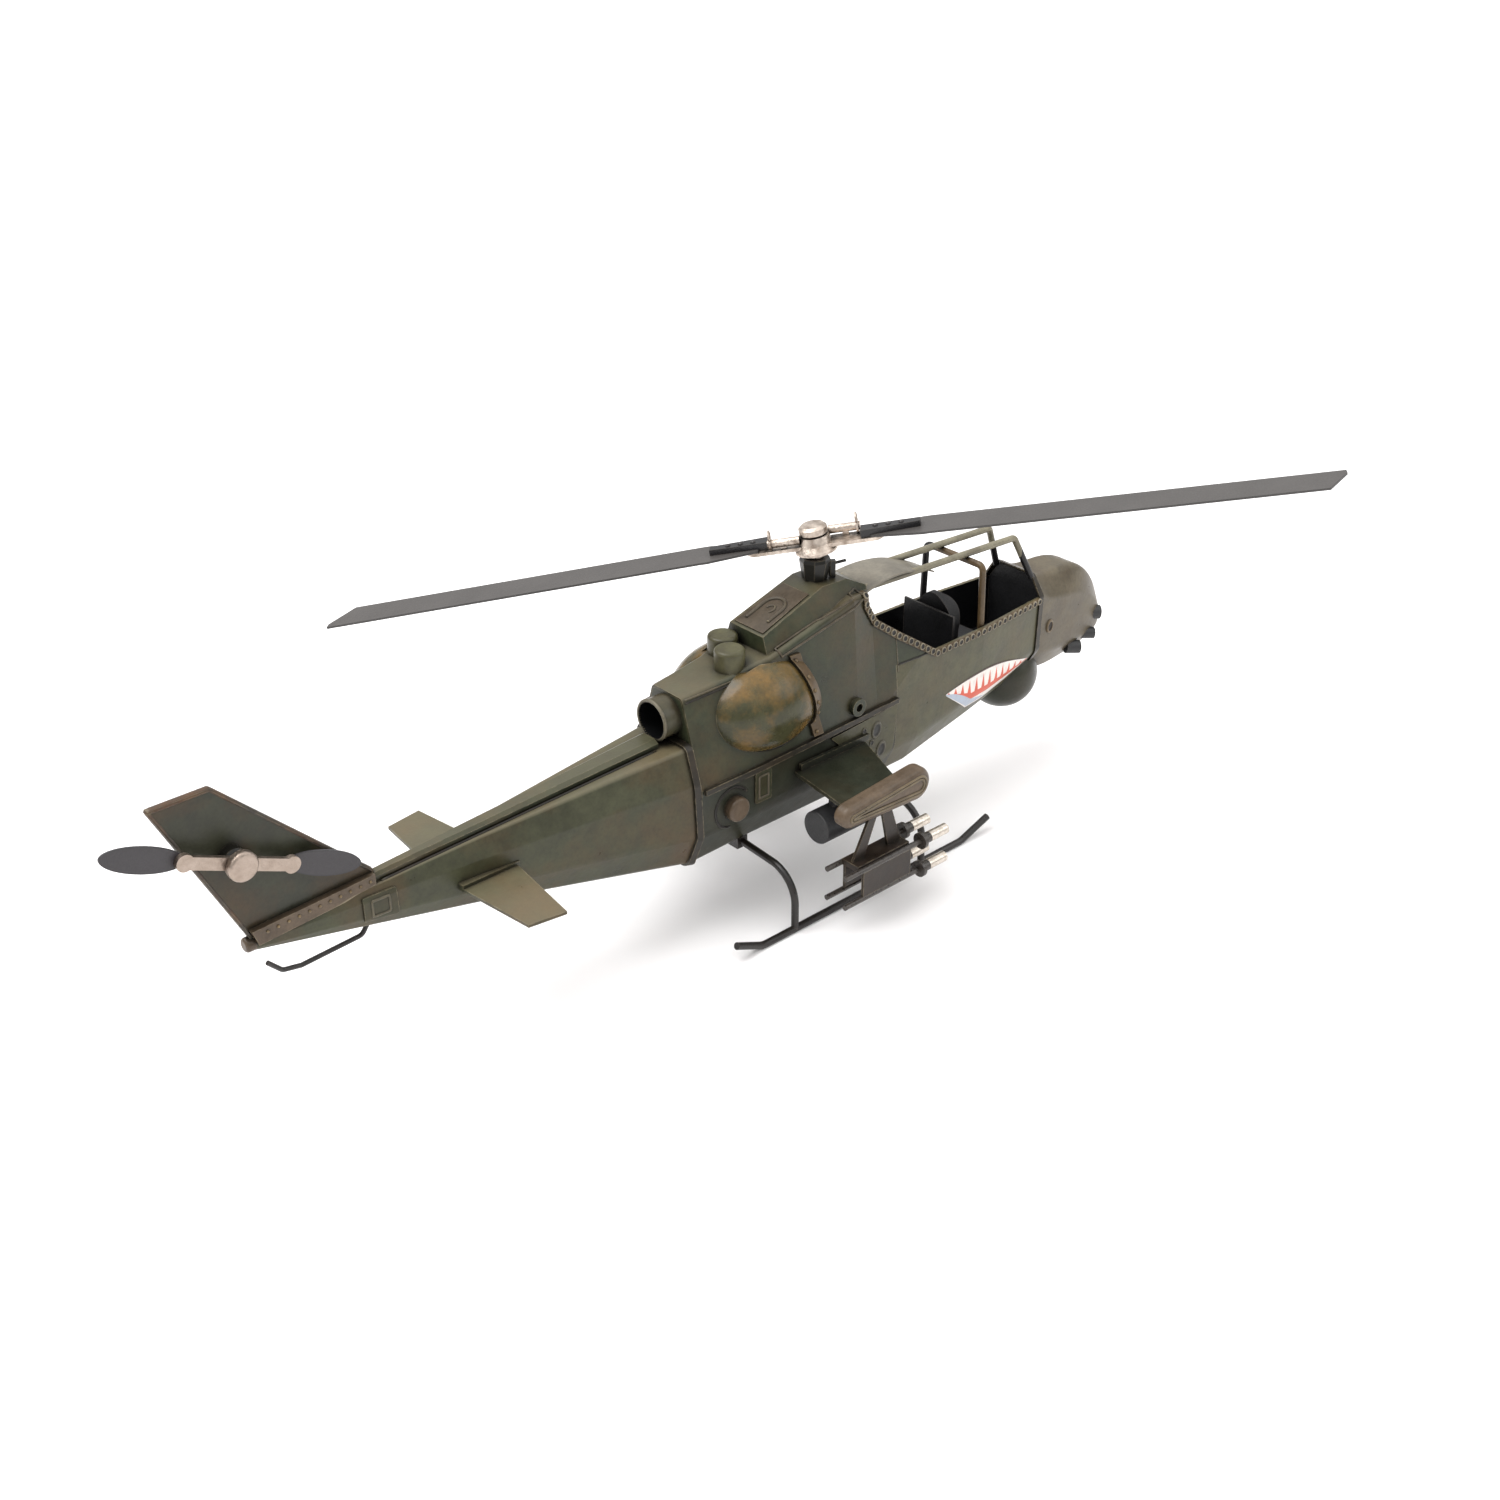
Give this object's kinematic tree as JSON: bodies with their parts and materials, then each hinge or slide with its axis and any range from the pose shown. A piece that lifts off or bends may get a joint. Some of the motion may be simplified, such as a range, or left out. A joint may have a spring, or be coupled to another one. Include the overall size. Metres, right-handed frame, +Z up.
{
  "type": "toy helicopter",
  "caption": "Tin-sheet display model of a two-seat attack helicopter with an open cockpit, standing on skids, with turning main and tail rotors.",
  "frame": {"origin": "on the ground under the middle of the model's bounding box, halfway between the nose tip and the aft tip of the tail rotor", "axes": "+X to the nose, +Y to port, +Z up"},
  "size_m": [0.477, 0.291, 0.1716],
  "materials": {
    "olive_paint": "aged satin",
    "bronze_paint": "aged satin",
    "black_paint": "satin",
    "nickel_plate": "dull nickel plate",
    "blade_steel": "satin grey",
    "bush_brass": "turned"
  },
  "bodies": {
    "airframe": {"access_plates": "olive_paint", "boom_spine_cover": "olive_paint", "canopy_hoop": "olive_paint", "canopy_rails": "olive_paint", "casing_rear_plate": "black_paint", "center_hull": "olive_paint", "chin_turret": "olive_paint", "cockpit_bulkhead": "black_paint", "cockpit_floor": "black_paint", "cockpit_hull": "olive_paint", "cowl": "olive_paint", "cowl_hatch": "olive_paint", "cross_tubes": "black_paint", "engine_casing": "olive_paint", "exhaust_pipe": "black_paint", "filler_caps": "olive_paint", "fin": "olive_paint", "fin_root_strips": "bronze_paint", "instrument_partition": "black_paint", "intake_scoops": "bronze_paint", "joint_band": "olive_paint", "launcher_racks": "bronze_paint", "launcher_tubes": "nickel_plate", "ledge_strips": "olive_paint", "mast_bush": "bush_brass", "mast_collar": "black_paint", "nose_band": "black_paint", "nose_shell": "olive_paint", "nose_sights": "bronze_paint", "pitch_link": "black_paint", "rocket_pods": "black_paint", "roof_panel": "olive_paint", "scoop_straps": "bronze_paint", "seats": "black_paint", "side_plugs": "bronze_paint", "side_washers": "olive_paint", "sill_trims": "bronze_paint", "skid_saddles": "bronze_paint", "skids": "black_paint", "stabilizers": "olive_paint", "stub_wings": "olive_paint", "tail_boom": "olive_paint", "tail_boss": "black_paint", "tail_end_plug": "bronze_paint", "tail_skid": "black_paint", "wing_root_plates": "olive_paint", "wingtip_fairings": "bronze_paint"},
    "mast": {"mast_shaft": "nickel_plate"},
    "rotor_head": {"teeter_pin": "nickel_plate", "hub_flange": "nickel_plate", "hub_cap": "nickel_plate", "yoke_plates": "nickel_plate", "drag_braces": "nickel_plate", "blade_grips": "black_paint", "main_blade_front": "blade_steel", "main_blade_rear": "blade_steel"},
    "tail_rotor": {"tail_shaft": "nickel_plate", "tail_yoke": "nickel_plate", "tail_hub_cap": "nickel_plate", "tail_blades": "blade_steel"}
  },
  "joints": [
    {"name": "main_rotor_spin", "type": "hinge", "parent": "airframe", "child": "mast", "pos_m": [0.06301, 0, 0.1375], "axis": [0, 0, 1], "continuous": true},
    {"name": "rotor_teeter", "type": "hinge", "parent": "mast", "child": "rotor_head", "pos_m": [0.06301, 0, 0.1375], "axis": [0.7431, 0.6691, 0], "range_deg": [0, 22]},
    {"name": "tail_rotor_spin", "type": "hinge", "parent": "airframe", "child": "tail_rotor", "pos_m": [-0.19499, 0, 0.105], "axis": [0, -1, 0], "continuous": true}
  ]
}
